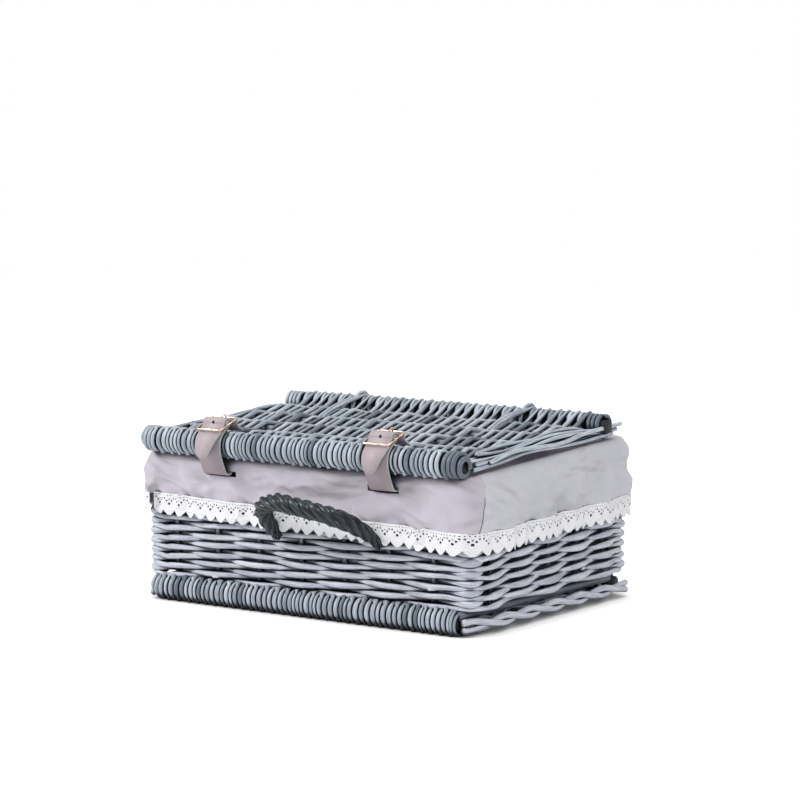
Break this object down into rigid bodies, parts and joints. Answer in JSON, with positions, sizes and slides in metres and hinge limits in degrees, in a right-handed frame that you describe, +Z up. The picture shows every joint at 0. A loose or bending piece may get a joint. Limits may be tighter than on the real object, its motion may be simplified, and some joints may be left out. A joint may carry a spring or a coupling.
{
  "type": "wicker suitcase",
  "caption": "Small light blue-grey painted willow suitcase with a woven hinged lid, a cloth liner edged with lace, two buckled straps and a dark roped handle.",
  "frame": {"origin": "On the ground plane, in the middle of the footprint of the whole object with its handle.", "axes": "+X runs along the front to the viewer's right, +Y from the front to the back and hinge side, +Z up."},
  "size_m": [0.3472, 0.2964, 0.1665],
  "materials": {
    "painted_willow": "matt light blue-grey paint on split and round willow",
    "liner_cotton": "plain woven cotton, soft and slightly creased",
    "crochet_lace": "white crocheted cotton lace",
    "handle_willow": "dark charcoal, half-gloss twisted willow",
    "strap_leather": "smooth imitation leather with pale cut edges",
    "buckle_copper": "polished copper-coloured wire and plate"
  },
  "bodies": {
    "basket": {"base_front_rail": "painted_willow", "base_back_rail": "painted_willow", "base_stick_1": "painted_willow", "base_stick_2": "painted_willow", "base_stick_3": "painted_willow", "base_weave": "painted_willow", "base_right_rod_1": "painted_willow", "base_right_rod_2": "painted_willow", "base_left_rod_1": "painted_willow", "base_left_rod_2": "painted_willow", "wall_frame_front": "painted_willow", "wall_frame_right": "painted_willow", "wall_frame_back": "painted_willow", "wall_frame_left": "painted_willow", "wall_row_1": "painted_willow", "wall_row_2": "painted_willow", "wall_row_3": "painted_willow", "wall_row_4": "painted_willow", "wall_row_5": "painted_willow", "wall_row_6": "painted_willow", "wall_row_7": "painted_willow", "wall_row_8": "painted_willow", "wall_row_9": "painted_willow", "wall_row_10": "painted_willow", "wall_row_11": "painted_willow", "wall_row_12": "painted_willow", "wall_row_13": "painted_willow", "wall_row_14": "painted_willow", "wall_row_15": "painted_willow", "wall_row_16": "painted_willow", "wall_row_17": "painted_willow", "wall_row_18": "painted_willow", "liner": "liner_cotton", "lace_trim": "crochet_lace", "handle": "handle_willow", "hinge_loop_right": "painted_willow", "hinge_loop_left": "painted_willow", "strap_anchor_right": "strap_leather", "strap_anchor_left": "strap_leather"},
    "lid": {"lid_front_rail": "painted_willow", "lid_back_rail": "painted_willow", "lid_stick_1": "painted_willow", "lid_stick_2": "painted_willow", "lid_stick_3": "painted_willow", "lid_stick_4": "painted_willow", "lid_weave": "painted_willow", "lid_right_rod_1": "painted_willow", "lid_right_rod_2": "painted_willow", "lid_right_rod_3": "painted_willow", "lid_left_rod_1": "painted_willow", "lid_left_rod_2": "painted_willow", "lid_left_rod_3": "painted_willow", "tip_strap_right": "strap_leather", "tip_strap_left": "strap_leather"},
    "strap_right": {"buckle_strap_right": "strap_leather"},
    "buckle_right": {"buckle_frame_right": "buckle_copper"},
    "prong_right": {"buckle_prong_right": "buckle_copper"},
    "strap_left": {"buckle_strap_left": "strap_leather"},
    "buckle_left": {"buckle_frame_left": "buckle_copper"},
    "prong_left": {"buckle_prong_left": "buckle_copper"}
  },
  "joints": [
    {"name": "lid_hinge", "type": "hinge", "parent": "basket", "child": "lid", "pos_m": [0, 0.12118, 0.147], "axis": [-1, 0, 0], "range_deg": [0, 105], "deforming": ["hinge_loop_right", "hinge_loop_left", "tip_strap_right", "tip_strap_left"]},
    {"name": "strap_right_swing", "type": "hinge", "parent": "basket", "child": "strap_right", "pos_m": [0.0858, -0.10772, 0.1144], "axis": [1, 0, 0], "range_deg": [0, 100], "deforming": ["tip_strap_right"]},
    {"name": "buckle_right_pivot", "type": "hinge", "parent": "strap_right", "child": "buckle_right", "pos_m": [0.0858, -0.10843, 0.1569], "axis": [-1, 0, 0], "range_deg": [0, 40], "deforming": ["tip_strap_right"]},
    {"name": "prong_right_pivot", "type": "hinge", "parent": "buckle_right", "child": "prong_right", "pos_m": [0.0858, -0.10843, 0.1569], "axis": [1, 0, 0], "range_deg": [0, 140], "deforming": ["tip_strap_right"]},
    {"name": "strap_left_swing", "type": "hinge", "parent": "basket", "child": "strap_left", "pos_m": [-0.0858, -0.10772, 0.1144], "axis": [1, 0, 0], "range_deg": [0, 100], "deforming": ["tip_strap_left"]},
    {"name": "buckle_left_pivot", "type": "hinge", "parent": "strap_left", "child": "buckle_left", "pos_m": [-0.0858, -0.10843, 0.1569], "axis": [-1, 0, 0], "range_deg": [0, 40], "deforming": ["tip_strap_left"]},
    {"name": "prong_left_pivot", "type": "hinge", "parent": "buckle_left", "child": "prong_left", "pos_m": [-0.0858, -0.10843, 0.1569], "axis": [1, 0, 0], "range_deg": [0, 140], "deforming": ["tip_strap_left"]}
  ]
}
